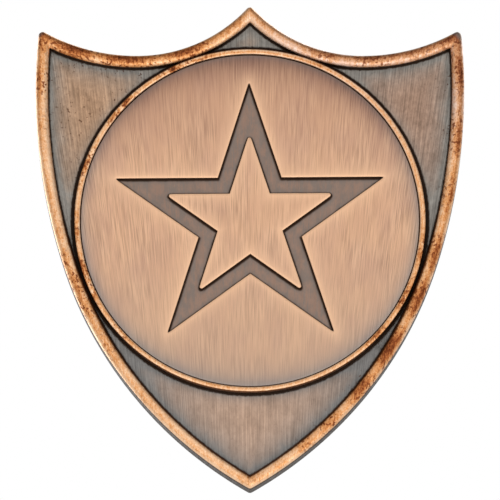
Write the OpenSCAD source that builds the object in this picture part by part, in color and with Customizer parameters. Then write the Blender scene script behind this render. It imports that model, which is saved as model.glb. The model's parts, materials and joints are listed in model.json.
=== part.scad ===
// Shield-shaped lapel badge: a cast copper shield with a round star centre and a hinged pin on its back.
// Each piece is drawn lying flat, with its front up and its top towards +Y, and is stood up at the end.
// Sizes are in millimetres. The origin is the centre of the round seat, on the flat back.

/* [Shield outline] */
// Half of the widest part of the shield
half_w = 15.85; // [15.6:0.05:16.4]
// Height of the widest part above the origin
widest_y = 10.0; // [9.6:0.1:10.4]
// Radius of the upper side curve
side_r = 43.2; // [40:0.1:46]
// Angle that the upper side curve sweeps below the widest part
side_sweep = 18.2; // [17.5:0.1:19]
// Radius of the lower side curve that runs to the bottom tip
lower_r = 30.0; // [29:0.1:31]
// Distance of each top scallop's lowest point from the middle
scallop_x = 8.36; // [8.0:0.02:8.8]
// Height of that lowest point above the origin
scallop_y = 12.49; // [12.49:0.01:12.8]
// Radius of the scallop towards the middle peak
scallop_in_r = 11.0; // [10.8:0.1:11.6]
// Radius of the scallop towards the outer horn
scallop_out_r = 14.0; // [13:0.1:15]
// Rounding of the peak, the horns and the bottom tip
corner_r = 0.32; // [0.15:0.01:0.4]

/* [Shield section] */
// Thickness from the back to the crest of the rim
crest_z = 2.0; // [1.9:0.05:2.3]
// Height of the upright outer wall, below the rim's rounding
wall_z = 1.45; // [1.35:0.05:1.55]
// Thickness of the sunk field
field_z = 1.2; // [1.1:0.05:1.3]
// Width of the raised rim
rim_w = 0.92; // [0.8:0.01:0.95]

/* [Round centre] */
// Radius of the seat for the star disc
seat_r = 12.55; // [12.53:0.01:12.55]
// Height of the seat's floor
seat_z = 0.9; // [0.8:0.05:1.0]
// Width of the raised ring round the seat
ring_w = 0.42; // [0.36:0.01:0.42]
// Radius of the star disc
disc_r = 12.5; // [12.4:0.01:12.5]
// Thickness of the star disc
disc_t = 0.8; // [0.6:0.05:0.9]
// Radius of the adhesive film
glue_r = 12.0; // [10:0.1:12.2]
// Thickness of the adhesive film
glue_t = 0.1; // [0.05:0.01:0.15]
// Radius through the star's outer points
star_r = 10.4; // [8:0.1:11]
// Width of the sunk band that draws the star
band_w = 1.15; // [0.6:0.05:1.3]
// Depth of the sunk band
band_depth = 0.25; // [0.1:0.05:0.4]
// Turn of the disc in its seat, in degrees
disc_turn = 0.4; // [-3:0.1:3]

/* [Brooch fitting] */
// Height of the fitting above the origin
fit_y = 5.5; // [4:0.1:6.5]
// Length of the bar
bar_l = 25.0; // [24.6:0.1:26]
// Width of the bar
bar_w = 4.6; // [4.4:0.1:5]
// Thickness of the bar
bar_t = 0.5; // [0.4:0.05:0.6]
// Distance of each cast peg from the middle
peg_x = 5.5; // [4.5:0.1:6.5]
// Radius of each cast peg
peg_r = 0.75; // [0.6:0.01:0.8]
// Radius of a peg's peened head
peg_head_r = 1.15; // [1.0:0.01:1.25]
// Height of a peg's peened head
peg_head_h = 0.4; // [0.3:0.05:0.5]
// Distance of the pin's axis behind the shield
pin_off = 2.5; // [2.4:0.05:2.8]
// Place of the hinge along the bar
hinge_x = -10.6; // [-10.8:0.1:-10.4]
// Thickness of each hinge ear
ear_t = 0.5; // [0.4:0.05:0.6]
// Gap between the two hinge ears
ear_gap = 1.5; // [1.4:0.05:1.6]
// Radius of the rounded top of an ear
ear_r = 0.9; // [0.85:0.01:1.0]
// Radius of the rivet's shank
rivet_r = 0.5; // [0.45:0.01:0.5]

/* [Pin] */
// Radius of the straight part of the pin
pin_r = 0.4; // [0.35:0.01:0.45]
// Place along the bar where the point starts to taper
taper_x = 8.4; // [7:0.1:8.6]
// Place along the bar where the point ends
tip_x = 11.4; // [11:0.1:11.5]
// Radius of the flattened eye
eye_r = 1.15; // [1.1:0.01:1.2]
// Thickness of the flattened eye
eye_t = 0.9; // [0.8:0.05:0.9]
// Angle at which the heel meets the bar
heel_stop = 102; // [101.5:0.5:106]

/* [Catch] */
// Place along the bar where the catch housing starts
catch_x = 9.5; // [9.4:0.05:9.6]
// Length of the catch housing
catch_l = 2.4; // [2.2:0.05:2.4]
// Outer radius of the catch housing
catch_r = 1.75; // [1.7:0.01:1.8]
// Inner radius of the catch housing
catch_in_r = 1.35; // [1.3:0.01:1.38]
// Half of the angle that the housing's mouth takes
mouth_half = 35; // [33:1:40]
// Radius of the turning barrel
barrel_r = 1.3; // [1.26:0.01:1.3]
// Radius of the barrel's bore
barrel_bore_r = 0.7; // [0.6:0.01:0.75]
// Width of the barrel's slot
slot_w = 1.1; // [1.0:0.05:1.2]
// Radius of the barrel's flange and end cap
flange_r = 1.65; // [1.6:0.01:1.7]
// Reach of the thumb lever from the barrel's axis
lever_reach = 2.6; // [2.3:0.1:2.8]
// Angle from the slot to the thumb lever
lever_turn = 50; // [45:1:55]

/* [Hidden] */
$fn = 96;

// Centres of the outline's curves on the right half
side_c = [half_w - side_r, widest_y];
lower_c = side_c + (side_r - lower_r) * [cos(side_sweep), -sin(side_sweep)];
scallop_in_c = [scallop_x, scallop_y + scallop_in_r];
scallop_out_c = [scallop_x, scallop_y + scallop_out_r];
// Smallest rounding, where an inset outline has used up the corner's own
sharp_r = 0.02;
// Steps along each curve of the outline
corner_steps = 3;
scallop_steps = 9;
side_steps = 14;
lower_steps = 18;

rim_inner = rim_w - 0.02;
// Inset and height of each outline, from the back round the rim to the field
rim_section = [
    [0.12, 0], [0.03, 0.04], [0, 0.12],
    [0, wall_z],
    [0.03, crest_z - 0.26], [0.1, crest_z - 0.12], [0.22, crest_z - 0.03], [0.4, crest_z],
    [0.6 * rim_w, crest_z], [0.76 * rim_w, crest_z - 0.03], [0.89 * rim_w, crest_z - 0.1],
    [rim_inner, crest_z - 0.2],
    [rim_w, field_z]
];

ring_r = seat_r + ring_w / 2;
disc_z = seat_z + glue_t;
// Ratio of the inner to the outer corners of a true five-pointed star
star_ratio = sin(18) / sin(54);
// Rounding at the points of the raised star inside the band
star_tip_r = 0.17;
// Edge rounding of the stamped disc, drawn as a small chamfer
disc_edge = 0.06;

// Radial play of a turning fit and of a fixed fit
run_play = 0.04;
fixed_play = 0.01;
peg_play = 0.03;
bar_end_r = bar_w / 2;
rivet_l = ear_gap + 2 * ear_t;
rivet_head_r = 0.85;
rivet_head_h = 0.3;
// Reach of the heel's corner, a little more than the axis's height over the bar
heel_reach = pin_off - bar_t + 0.1;
heel_angle = 180 + asin((pin_off - bar_t) / heel_reach) - heel_stop;
pin_point_r = 0.08;
end_play = 0.05;
flange_t = 0.3;
cap_t = 0.45;
lever_w = 0.9;
foot_l = 2.0;
foot_w = 1.8;
foot_h = 0.35;
// Length that a cutting shape runs past the face it cuts
over = 1;

// Direction of a vector in degrees
function heading(v) = atan2(v[1], v[0]);

// Points of an arc about c, from angle a0 up to but without angle a1
function arc(c, r, a0, a1, steps) = [
    for (i = [0:steps - 1])
        let (a = a0 + (a1 - a0) * i / steps) c + r * [cos(a), sin(a)]
];

// The meeting point of two circles that lies clockwise of the line between their centres
function meet(c0, r0, c1, r1) =
    let (
        gap = c1 - c0,
        dist = norm(gap),
        along = (r0 * r0 - r1 * r1 + dist * dist) / (2 * dist),
        aside = sqrt(r0 * r0 - along * along)
    )
    c0 + along * gap / dist + aside * [-gap[1], gap[0]] / dist;

// Right half of the outline, moved inwards by d, from the peak down to the tip
function right_half(d) =
    let (
        f = max(corner_r - d, sharp_r),
        in_r = scallop_in_r + d,
        out_r = scallop_out_r + d,
        peak = [0, scallop_in_c[1] - sqrt(pow(in_r + f, 2) - pow(scallop_x, 2))],
        horn = meet(scallop_out_c, out_r + f, side_c, side_r - d - f),
        tip = [0, lower_c[1] - sqrt(pow(lower_r - d - f, 2) - pow(lower_c[0], 2))],
        peak_a = heading(scallop_in_c - peak),
        horn_a = heading(scallop_out_c - horn),
        side_a = heading(horn - side_c),
        tip_a = heading(tip - lower_c)
    )
    concat(
        arc(peak, f, 90, peak_a, corner_steps),
        arc(scallop_in_c, in_r, peak_a + 180, 270, scallop_steps),
        arc(scallop_out_c, out_r, 270, horn_a + 180, scallop_steps),
        arc(horn, f, horn_a, side_a, corner_steps),
        arc(side_c, side_r - d, side_a, -side_sweep, side_steps),
        arc(lower_c, lower_r - d, -side_sweep, tip_a, lower_steps),
        arc(tip, f, tip_a, -90, corner_steps),
        [tip - [0, f]]
    );

// Whole outline, moved inwards by d, clockwise from the peak
function outline(d) =
    let (half = right_half(d))
    concat(half, [for (i = [len(half) - 2:-1:1]) [-half[i][0], half[i][1]]]);

// Points of a five-pointed star with its points rounded by tip_r
function star_points(r, tip_r) =
    let (
        steps = 6,
        tip_c = r - tip_r / sin(18)
    )
    [
        for (k = [0:4])
            let (a = 90 - 72 * k)
                each concat(
                    [
                        for (i = [0:steps])
                            let (b = a + 72 - 144 * i / steps)
                                tip_c * [cos(a), sin(a)] + tip_r * [cos(b), sin(b)]
                    ],
                    [r * star_ratio * [cos(a - 36), sin(a - 36)]]
                )
    ];

// Shield plate with its rounded rim, as a stack of outlines closed by a fan at the back and at the field
module shield_plate() {
    loops = [for (s = rim_section) [for (p = outline(s[0])) [p[0], p[1], s[1]]]];
    count = len(loops[0]);
    last = len(loops) - 1;
    back_c = count * len(loops);
    field_c = back_c + 1;
    walls = [
        for (j = [0:last - 1], i = [0:count - 1])
            let (
                a = j * count + i,
                b = j * count + (i + 1) % count
            )
            each [[a, b, b + count], [a, b + count, a + count]]
    ];
    back = [for (i = [0:count - 1]) [back_c, (i + 1) % count, i]];
    field = [for (i = [0:count - 1]) [field_c, last * count + i, last * count + (i + 1) % count]];
    polyhedron(
        points = concat([for (loop = loops) each loop], [[0, 0, 0], [0, 0, field_z]]),
        faces = concat(back, walls, field)
    );
}

// Raised ring round the seat, with a flattened crest and rounded shoulders
module seat_ring() {
    bead_h = 0.17;
    // Below 1 this squares the shoulders of the half round
    square = 0.6;
    rotate_extrude() {
        polygon(concat(
            [[seat_r, seat_z - 0.1], [seat_r + ring_w, seat_z - 0.1]],
            [
                for (i = [0:8])
                    let (
                        a = 22.5 * i,
                        side = sign(cos(a)) * pow(abs(cos(a)), square),
                        up = pow(sin(a), square)
                    )
                    [ring_r + ring_w / 2 * side, crest_z - bead_h + bead_h * up]
            ]
        ));
    }
}

// Low dome of radius r and height h, standing on z = 0
module dome(r, h) {
    ball_r = (r * r + h * h) / (2 * h);
    intersection() {
        translate([0, 0, h - ball_r]) sphere(r = ball_r);
        cylinder(r = r, h = h);
    }
}

// Cast peg that holds the bar, with its peened head
module peg() {
    sunk = 0.3;
    mirror([0, 0, 1]) {
        translate([0, 0, -sunk]) cylinder(r = peg_r, h = bar_t + sunk + 0.05);
        translate([0, 0, bar_t]) dome(peg_head_r, peg_head_h);
    }
}

// Cylinder along x, from x0 to x1, on the pin's axis
module along_pin(x0, x1, r, end_r = -1) {
    translate([x0, fit_y, -pin_off])
        rotate([0, 90, 0])
            cylinder(r1 = r, r2 = end_r < 0 ? r : end_r, h = x1 - x0);
}

// Cylinder along y, of length l and centred on the hinge's axis
module along_hinge(r, l) {
    translate([hinge_x, fit_y, -pin_off]) rotate([90, 0, 0]) cylinder(r = r, h = l, center = true);
}

// Everything is drawn flat and stood up, so that the front faces -Y
module stand_up() {
    rotate([90, 0, 0]) children();
}

module shield_body() {
    color([0.72, 0.48, 0.33]) stand_up() {
        difference() {
            shield_plate();
            translate([0, 0, seat_z]) cylinder(r = ring_r, h = crest_z);
        }
        seat_ring();
        for (x = [-peg_x, peg_x]) translate([x, fit_y, 0]) peg();
    }
}

module star_disc() {
    color([0.78, 0.60, 0.47]) stand_up() translate([0, 0, disc_z]) rotate(disc_turn) {
        difference() {
            union() {
                cylinder(r = disc_r, h = disc_t - disc_edge);
                translate([0, 0, disc_t - disc_edge])
                    cylinder(r1 = disc_r, r2 = disc_r - disc_edge, h = disc_edge);
            }
            translate([0, 0, disc_t - band_depth]) linear_extrude(height = over) difference() {
                polygon([
                    for (k = [0:9])
                        let (r = k % 2 == 0 ? star_r : star_r * star_ratio)
                            r * [sin(36 * k), cos(36 * k)]
                ]);
                polygon(star_points(star_r - band_w / sin(18), star_tip_r));
            }
        }
    }
}

module disc_adhesive() {
    color([0.85, 0.82, 0.70]) stand_up() translate([0, 0, seat_z]) cylinder(r = glue_r, h = glue_t);
}

module brooch_bar() {
    straight = bar_l - 2 * bar_end_r;
    color([0.78, 0.78, 0.76]) stand_up() difference() {
        union() {
            translate([-straight / 2, fit_y - bar_w / 2, -bar_t]) cube([straight, bar_w, bar_t]);
            for (x = [-straight / 2, straight / 2])
                translate([x, fit_y, -bar_t]) cylinder(r = bar_end_r, h = bar_t);
            for (side = [-1, 1]) {
                ear_y = fit_y + side * (ear_gap + ear_t) / 2;
                translate([hinge_x - ear_r, ear_y - ear_t / 2, -pin_off])
                    cube([2 * ear_r, ear_t, pin_off - bar_t / 2]);
                translate([hinge_x, ear_y, -pin_off])
                    rotate([90, 0, 0])
                        cylinder(r = ear_r, h = ear_t, center = true);
            }
        }
        along_hinge(rivet_r + fixed_play, rivet_l + over);
        for (x = [-peg_x, peg_x])
            translate([x, fit_y, -bar_t - over / 2]) cylinder(r = peg_r + peg_play, h = bar_t + over);
    }
}

module hinge_rivet() {
    color([0.70, 0.70, 0.68]) stand_up() {
        along_hinge(rivet_r, rivet_l + 0.1);
        for (side = [-1, 1])
            translate([hinge_x, fit_y + side * rivet_l / 2, -pin_off])
                rotate([-90 * side, 0, 0])
                    dome(rivet_head_r, rivet_head_h);
    }
}

module pin_stem() {
    color([0.82, 0.82, 0.80]) stand_up() difference() {
        union() {
            along_hinge(eye_r, eye_t);
            // The heel is a squared lug behind the eye, and its corner meets the bar when the pin is open
            translate([hinge_x, fit_y, -pin_off])
                rotate([90, 0, 0])
                    linear_extrude(height = eye_t, center = true)
                        polygon([
                            [0, 0],
                            eye_r * [cos(110), -sin(110)],
                            heel_reach * [cos(heel_angle), -sin(heel_angle)],
                            (heel_reach - 0.15) * [cos(172), -sin(172)],
                            eye_r * [cos(212), -sin(212)]
                        ]);
            along_pin(hinge_x + eye_r / 2, taper_x, pin_r);
            along_pin(taper_x, tip_x, pin_r, pin_point_r);
        }
        along_hinge(rivet_r + run_play, eye_t + over);
    }
}

module catch_housing() {
    reach = 2 * catch_r;
    color([0.76, 0.76, 0.74]) stand_up() difference() {
        union() {
            along_pin(catch_x, catch_x + catch_l, catch_r);
            translate([catch_x + (catch_l - foot_l) / 2, fit_y - foot_w / 2, -bar_t - foot_h])
                cube([foot_l, foot_w, foot_h]);
        }
        along_pin(catch_x - over, catch_x + catch_l + over, catch_in_r);
        translate([catch_x - over, fit_y, -pin_off])
            rotate([90, 0, 90])
                linear_extrude(height = catch_l + 2 * over)
                    polygon([
                        [0, 0],
                        reach * [sin(mouth_half), -cos(mouth_half)],
                        reach * [-sin(mouth_half), -cos(mouth_half)]
                    ]);
    }
}

module catch_barrel() {
    x0 = catch_x - end_play - flange_t;
    x1 = catch_x + catch_l + end_play;
    color([0.72, 0.72, 0.70]) stand_up() difference() {
        union() {
            along_pin(x0, x0 + flange_t, flange_r);
            along_pin(x0, x1 + cap_t, barrel_r);
            along_pin(x1, x1 + cap_t, flange_r);
            // Thumb lever on the end cap, which hangs down while the slot is open
            translate([x1, fit_y, -pin_off]) rotate([-lever_turn, 0, 0]) {
                translate([0, -lever_w / 2, lever_w / 2 - lever_reach])
                    cube([cap_t, lever_w, lever_reach - lever_w / 2]);
                translate([0, 0, lever_w / 2 - lever_reach])
                    rotate([0, 90, 0])
                        cylinder(r = lever_w / 2, h = cap_t);
            }
        }
        along_pin(x0 - over, x1, barrel_bore_r);
        translate([x0 - over, fit_y - slot_w / 2, -pin_off - 2 * catch_r])
            cube([x1 - x0 + over, slot_w, 2 * catch_r]);
    }
}

shield_body();
star_disc();
disc_adhesive();
brooch_bar();
hinge_rivet();
pin_stem();
catch_housing();
catch_barrel();
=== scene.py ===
# Shield lapel badge in antique copper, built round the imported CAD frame.
# Shapes are worked out in millimetres, lying flat: x to the right, y up and h out of the face.
import json
from functools import partial
from math import acos, asin, atan2, copysign, cos, pi, radians, sin, sqrt

import bmesh
import bpy
import numpy as np
from mathutils import Matrix, Vector, noise


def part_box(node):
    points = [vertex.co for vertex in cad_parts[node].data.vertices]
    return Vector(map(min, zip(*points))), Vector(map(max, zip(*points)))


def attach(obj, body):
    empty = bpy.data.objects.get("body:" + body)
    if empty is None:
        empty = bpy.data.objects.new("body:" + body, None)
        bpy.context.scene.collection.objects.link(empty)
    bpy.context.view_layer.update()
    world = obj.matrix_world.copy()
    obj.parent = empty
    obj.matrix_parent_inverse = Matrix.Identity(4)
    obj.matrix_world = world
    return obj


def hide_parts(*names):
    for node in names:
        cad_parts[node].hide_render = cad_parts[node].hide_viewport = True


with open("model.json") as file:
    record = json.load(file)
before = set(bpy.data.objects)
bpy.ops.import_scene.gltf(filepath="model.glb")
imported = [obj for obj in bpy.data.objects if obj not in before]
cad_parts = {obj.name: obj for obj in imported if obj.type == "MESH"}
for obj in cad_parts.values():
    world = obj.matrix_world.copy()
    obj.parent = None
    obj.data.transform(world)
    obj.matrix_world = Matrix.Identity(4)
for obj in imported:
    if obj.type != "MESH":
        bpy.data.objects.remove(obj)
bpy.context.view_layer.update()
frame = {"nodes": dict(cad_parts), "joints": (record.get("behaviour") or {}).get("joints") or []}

MM = 0.001

# ------- sizes


def box_mm(node):
    """The low and high corners of a CAD node's box, in millimetres."""
    return [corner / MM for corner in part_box(node)]


SHIELD_LOW, SHIELD_HIGH = box_mm("shield_body")
DISC_LOW, DISC_HIGH = box_mm("star_disc")
BAR_HIGH = box_mm("brooch_bar")[1]
PIN_HIGH = box_mm("pin_stem")[1]
HOUSING_LOW, HOUSING_HIGH = box_mm("catch_housing")
BARREL_LOW, BARREL_HIGH = box_mm("catch_barrel")
RIVET_LOW, RIVET_HIGH = box_mm("hinge_rivet")
JOINTS = {joint["name"]: joint["pos_m"] for joint in frame["joints"]}

# Shield outline, as in the CAD
HALF_W = SHIELD_HIGH.x
WIDEST_Y = 10.0
SIDE_R = 43.2
SIDE_SWEEP = 18.2
LOWER_R = 30.0
SCALLOP_LOW = np.array([8.36, 12.49])
SCALLOP_IN_R = 11.0
SCALLOP_OUT_R = 14.0
CORNER_R = 0.32
SHARP_R = 0.02
SIDE_C = np.array([HALF_W - SIDE_R, WIDEST_Y])
SWEEP = radians(SIDE_SWEEP)
LOWER_C = SIDE_C + (SIDE_R - LOWER_R) * np.array([cos(SWEEP), -sin(SWEEP)])
SCALLOP_IN_C = SCALLOP_LOW + [0, SCALLOP_IN_R]
SCALLOP_OUT_C = SCALLOP_LOW + [0, SCALLOP_OUT_R]

# Section of the shield
CREST = -SHIELD_LOW.y
WALL_TOP = 1.45
FIELD = 1.2
RIM_W = 0.92
RIM_CREST = 0.4
CREST_CURVE = 2.6
RIM_DROP = 0.22
RIM_LIP = 0.03
BACK_EDGE = 0.12
FOOT_FILLET = 0.06
FILLET_REACH = 0.07
SEAT_R = 12.55
SEAT_FLOOR = 0.9
RING_W = 0.42
RING_R = SEAT_R + RING_W
RING_MID = SEAT_R + RING_W / 2
BEAD_H = 0.17
BEAD_SQUARE = 0.6
WALL_FOOT = 0.15

# How a raised edge leans: -1 to 1 across it, and these on the parts round it
ON_BACK, ON_WALL, ON_FOOT, IN_FIELD = -1.5, -1.3, 1.3, 1.5

# Star disc
DISC_R = DISC_HIGH.x
DISC_TOP = -DISC_LOW.y
DISC_BOTTOM = -DISC_HIGH.y
STAR_R = 10.4
BAND_W = 1.15
BAND_DEPTH = 0.25
DISC_TURN = 0.4
TIP_R = 0.17
SHARP_TIP_R = 0.03
BAND_ROUND = 0.07
DISC_EDGE_R = 0.05
DISC_CHAMFER = 0.04

# Brooch fitting
HINGE = Vector(JOINTS["pin_swing"]) / MM
PIN_OFF = HINGE.y
FIT_Z = HINGE.z
BAR_T = 0.5
PEG_X = 5.5
RIVET_R = 0.5
WIRE_R = 0.4
PEG_ROOT = -0.3
BORE_PLAY = 0.01


# ------- mesh tools

def stand(points):
    """Flat millimetre points (x, y, h) as metres in the badge's frame: the front faces -Y and y becomes Z."""
    p = np.asarray(points, float)
    return np.stack([p[:, 0], -p[:, 2], p[:, 1]], 1) * MM


def mesh_object(name, verts, faces, smooth_angle=35, attributes=None):
    """A mesh object from metre vertices, smooth except along edges sharper than the angle."""
    mesh = bpy.data.meshes.new(name)
    mesh.from_pydata([tuple(v) for v in verts], [], [tuple(f) for f in faces])
    work = bmesh.new()
    work.from_mesh(mesh)
    bmesh.ops.recalc_face_normals(work, faces=work.faces)
    work.to_mesh(mesh)
    work.free()
    for key, values in (attributes or {}).items():
        layer = mesh.attributes.new(key, "FLOAT", "POINT")
        layer.data.foreach_set("value", np.asarray(values, np.float32))
    mesh.polygons.foreach_set("use_smooth", [True] * len(mesh.polygons))
    mesh.set_sharp_from_angle(angle=radians(smooth_angle))
    obj = bpy.data.objects.new(name, mesh)
    bpy.context.scene.collection.objects.link(obj)
    return obj


def loft_faces(rows, columns):
    """Quads between rows of points, each row closed on itself."""
    faces = []
    for j in range(rows - 1):
        for i in range(columns):
            a = j * columns + i
            b = j * columns + (i + 1) % columns
            faces.append((a, b, b + columns, a + columns))
    return faces


def fan(centre, start, columns):
    """Triangles from a centre point to one closed row."""
    return [(centre, start + i, start + (i + 1) % columns) for i in range(columns)]


def shell_faces(rows, columns):
    """Faces of a closed shell: rows of points, then a middle point for the first row and the last."""
    total = rows * columns
    return fan(total, 0, columns) + loft_faces(rows, columns) + fan(total + 1, total - columns, columns)


def wave(x, y, z, size):
    """Smooth noise from about -1 to 1, with features of the given size in millimetres."""
    return noise.noise(Vector((x / size, y / size, z / size)))


def rounding(r, steps):
    """Insets and drops along a rounded edge of radius r, beginning where it meets its top."""
    turn = [k / steps * pi / 2 for k in range(steps + 1)]
    return [(r * (1 - sin(t)), r * (1 - cos(t))) for t in turn]


# ------- shield outline

def heading(v):
    """The direction of a flat vector, anticlockwise from x."""
    return atan2(v[1], v[0])


def arc(centre, r, a0, a1, steps):
    """Points of an arc, without its last one."""
    a = np.linspace(a0, a1, steps, endpoint=False)
    return np.asarray(centre) + r * np.stack([np.cos(a), np.sin(a)], 1)


def meet(c0, r0, c1, r1):
    """Where two circles meet, on the clockwise side of the line between their centres."""
    gap = c1 - c0
    dist = np.linalg.norm(gap)
    along = (r0 * r0 - r1 * r1 + dist * dist) / (2 * dist)
    aside = sqrt(r0 * r0 - along * along)
    return c0 + along * gap / dist + aside * np.array([-gap[1], gap[0]]) / dist


CORNER_STEPS, SCALLOP_STEPS, SIDE_STEPS, LOWER_STEPS = 5, 44, 80, 110


def outline(d):
    """The whole outline moved inwards by d, clockwise from the peak."""
    f = max(CORNER_R - d, SHARP_R)
    in_r, out_r = SCALLOP_IN_R + d, SCALLOP_OUT_R + d
    peak = np.array([0, SCALLOP_IN_C[1] - sqrt((in_r + f) ** 2 - SCALLOP_LOW[0] ** 2)])
    horn = meet(SCALLOP_OUT_C, out_r + f, SIDE_C, SIDE_R - d - f)
    tip = np.array([0, LOWER_C[1] - sqrt((LOWER_R - d - f) ** 2 - LOWER_C[0] ** 2)])
    peak_a = heading(SCALLOP_IN_C - peak)
    horn_a = heading(SCALLOP_OUT_C - horn)
    side_a = heading(horn - SIDE_C)
    tip_a = heading(tip - LOWER_C)
    half = np.concatenate([
        arc(peak, f, pi / 2, peak_a, CORNER_STEPS),
        arc(SCALLOP_IN_C, in_r, peak_a + pi, 1.5 * pi, SCALLOP_STEPS),
        arc(SCALLOP_OUT_C, out_r, 1.5 * pi, horn_a + pi, SCALLOP_STEPS),
        arc(horn, f, horn_a, side_a, CORNER_STEPS),
        arc(SIDE_C, SIDE_R - d, side_a, -SWEEP, SIDE_STEPS),
        arc(LOWER_C, LOWER_R - d, -SWEEP, tip_a, LOWER_STEPS),
        arc(tip, f, tip_a, -pi / 2, CORNER_STEPS),
        [tip - [0, f]],
    ])
    half[0, 0] = half[-1, 0] = 0
    return np.concatenate([half, half[-2:0:-1] * [-1, 1]])


def inset_of(points):
    """Distance of flat points from the outline, from the arc that each one faces."""
    x, y = np.abs(points[:, 0]), points[:, 1]
    below = (x - SIDE_C[0]) * sin(SWEEP) + (y - SIDE_C[1]) * cos(SWEEP) < 0
    side = np.where(
        below,
        LOWER_R - np.hypot(x - LOWER_C[0], y - LOWER_C[1]),
        SIDE_R - np.hypot(x - SIDE_C[0], y - SIDE_C[1]),
    )
    top = np.where(
        x < SCALLOP_LOW[0],
        np.hypot(x - SCALLOP_IN_C[0], y - SCALLOP_IN_C[1]) - SCALLOP_IN_R,
        np.hypot(x - SCALLOP_OUT_C[0], y - SCALLOP_OUT_C[1]) - SCALLOP_OUT_R,
    )
    return np.minimum(side, top)


# ------- shield

# Where the copper is most stained: x, y, reach and amount
STAINS = [
    (-15.2, 14, 2.2, 0.9), (-15.3, 10.5, 2.4, 0.7), (-15.2, 7, 3, 0.4), (-14.8, 1.5, 3, 0.3),
    (-13.6, -3.2, 1.8, 0.65), (-12.4, -6.6, 2.2, 0.75), (-10.6, -9.8, 2.4, 0.5), (-7.5, -13.4, 3, 0.25),
    (0, -19.3, 1.2, 0.5), (-13, 13.2, 2.5, 1.3), (-9, 12.9, 3.5, 1.3), (-5, 13.3, 3, 1.15),
    (-1.5, 15, 2.5, 0.45), (1.5, 15.2, 2, 0.4), (5.5, 12.9, 2.5, 0.7), (9, 12.9, 3, 0.85),
    (12.5, 13.5, 2.5, 0.7), (15, 14.2, 2.2, 1), (15.3, 11, 2.5, 1), (15.5, 6.5, 3, 0.8),
    (15, 2, 3, 0.6), (13.9, -2.5, 2.6, 0.9), (12.7, -6, 2.4, 1.2), (10.6, -9.8, 2.6, 1.25),
    (8.3, -12.7, 2.2, 1), (5.8, -15.2, 1.8, 0.8), (4, -16.8, 1.4, 0.6), (2, -18.2, 1.5, 0.25),
    (-9.6, 8.6, 2.6, 0.9), (-11.9, 4, 2.6, 0.8), (-12.7, -0.5, 2.6, 0.6), (-12.2, -4.5, 3, 0.85),
    (-9.8, -8.4, 3, 0.6), (-5.5, 11.5, 3, 0.7), (-13.2, 7.8, 3.4, 0.75),
    (11.2, -6.2, 1, 0.7), (-3, -12.6, 2.5, 0.3),
]


def stain_at(x, y):
    """How stained the copper is at flat points, from 0 to 1."""
    amount = np.full_like(x, 0.1)
    for sx, sy, reach, strength in STAINS:
        near = np.exp(-((x - sx) ** 2 + (y - sy) ** 2) / (0.5 * reach * reach))
        amount = np.maximum(amount, strength * near)
    return amount


def rim_height(d):
    """Height of the rim's rounded crest at distance d from the outline."""
    if d < RIM_CREST:
        rise = (1 - (1 - d / RIM_CREST) ** CREST_CURVE) ** (1 / CREST_CURVE)
        return WALL_TOP + (CREST - WALL_TOP) * rise
    return CREST - RIM_DROP * ((d - RIM_CREST) / (RIM_W - RIM_CREST)) ** 3.5


def rim_rows():
    """Rows from the middle of the back, up the wall and over the rim, to the rim's inner foot."""
    rows = [(outline(BACK_EDGE) * share, 0.0, ON_BACK) for share in (0.1, 0.3, 0.5, 0.7, 0.85, 0.95)]
    rows += [(outline(inset), rise, ON_BACK) for inset, rise in rounding(BACK_EDGE, 4)]
    rows += [(outline(0), h, ON_WALL) for h in (0.5, 0.95, 1.3)]
    for k in range(10):
        d = RIM_CREST * (1 - cos(k / 9 * pi / 2) ** 1.4) if k < 9 else RIM_CREST
        rows.append((outline(d), rim_height(d), d / RIM_CREST - 1))
    for k in range(1, 9):
        d = RIM_CREST + (RIM_W - RIM_LIP - RIM_CREST) * k / 8
        rows.append((outline(d), rim_height(d), (d - RIM_CREST) / (RIM_W - RIM_CREST)))
    lip_h = rim_height(RIM_W - RIM_LIP)
    rows.append((outline(RIM_W - RIM_LIP / 3), lip_h - RIM_LIP, 1.0))
    rows.append((outline(RIM_W), lip_h - 4 * RIM_LIP, ON_FOOT))
    rows.append((outline(RIM_W), FIELD + FOOT_FILLET, IN_FIELD))
    return rows


def field_rows(foot, ring_foot):
    """Rows of the field, from the rim's foot to the ring's foot along lines through the middle."""
    rows = []
    room = np.linalg.norm(foot - ring_foot, axis=1)
    steps = 22
    for k in range(steps + 1):
        t = (1 - cos(pi * k / steps)) / 2
        fillet = 0.05 * (np.exp(-room * t / FILLET_REACH) + np.exp(-room * (1 - t) / FILLET_REACH))
        height = FIELD + np.minimum(fillet, FOOT_FILLET)
        rows.append((foot * (1 - t) + ring_foot * t, height, IN_FIELD))
    return rows


def ring_rows(unit):
    """Rows of the raised ring, a flattened bead on two straight walls, and of the seat inside it."""
    bead_foot = CREST - BEAD_H
    rows = [(unit * RING_R, h, IN_FIELD) for h in (FIELD + 0.2, bead_foot - WALL_FOOT)]
    for k in range(15):
        t = pi * k / 14
        side = copysign(abs(cos(t)) ** BEAD_SQUARE, cos(t))
        up = max(sin(t), 0.0) ** BEAD_SQUARE
        rows.append((unit * (RING_MID + RING_W / 2 * side), bead_foot + BEAD_H * up, side))
    rows += [(unit * SEAT_R, h, ON_BACK) for h in (bead_foot - WALL_FOOT, FIELD, SEAT_FLOOR)]
    rows.append((unit * SEAT_R * 0.5, SEAT_FLOOR, ON_BACK))
    return rows


def shield_rows():
    """Rows of the shield from the middle of its back, over the rim, field and ring, to the seat.

    Each row is (points, height, lean): on a raised edge lean runs from -1 on its shoulder away from
    the field to 1 on its shoulder next to the field, and it is more than that on the walls."""
    foot = outline(RIM_W)
    unit = foot / np.linalg.norm(foot, axis=1)[:, None]
    return rim_rows() + field_rows(foot, unit * RING_R) + ring_rows(unit)


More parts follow.
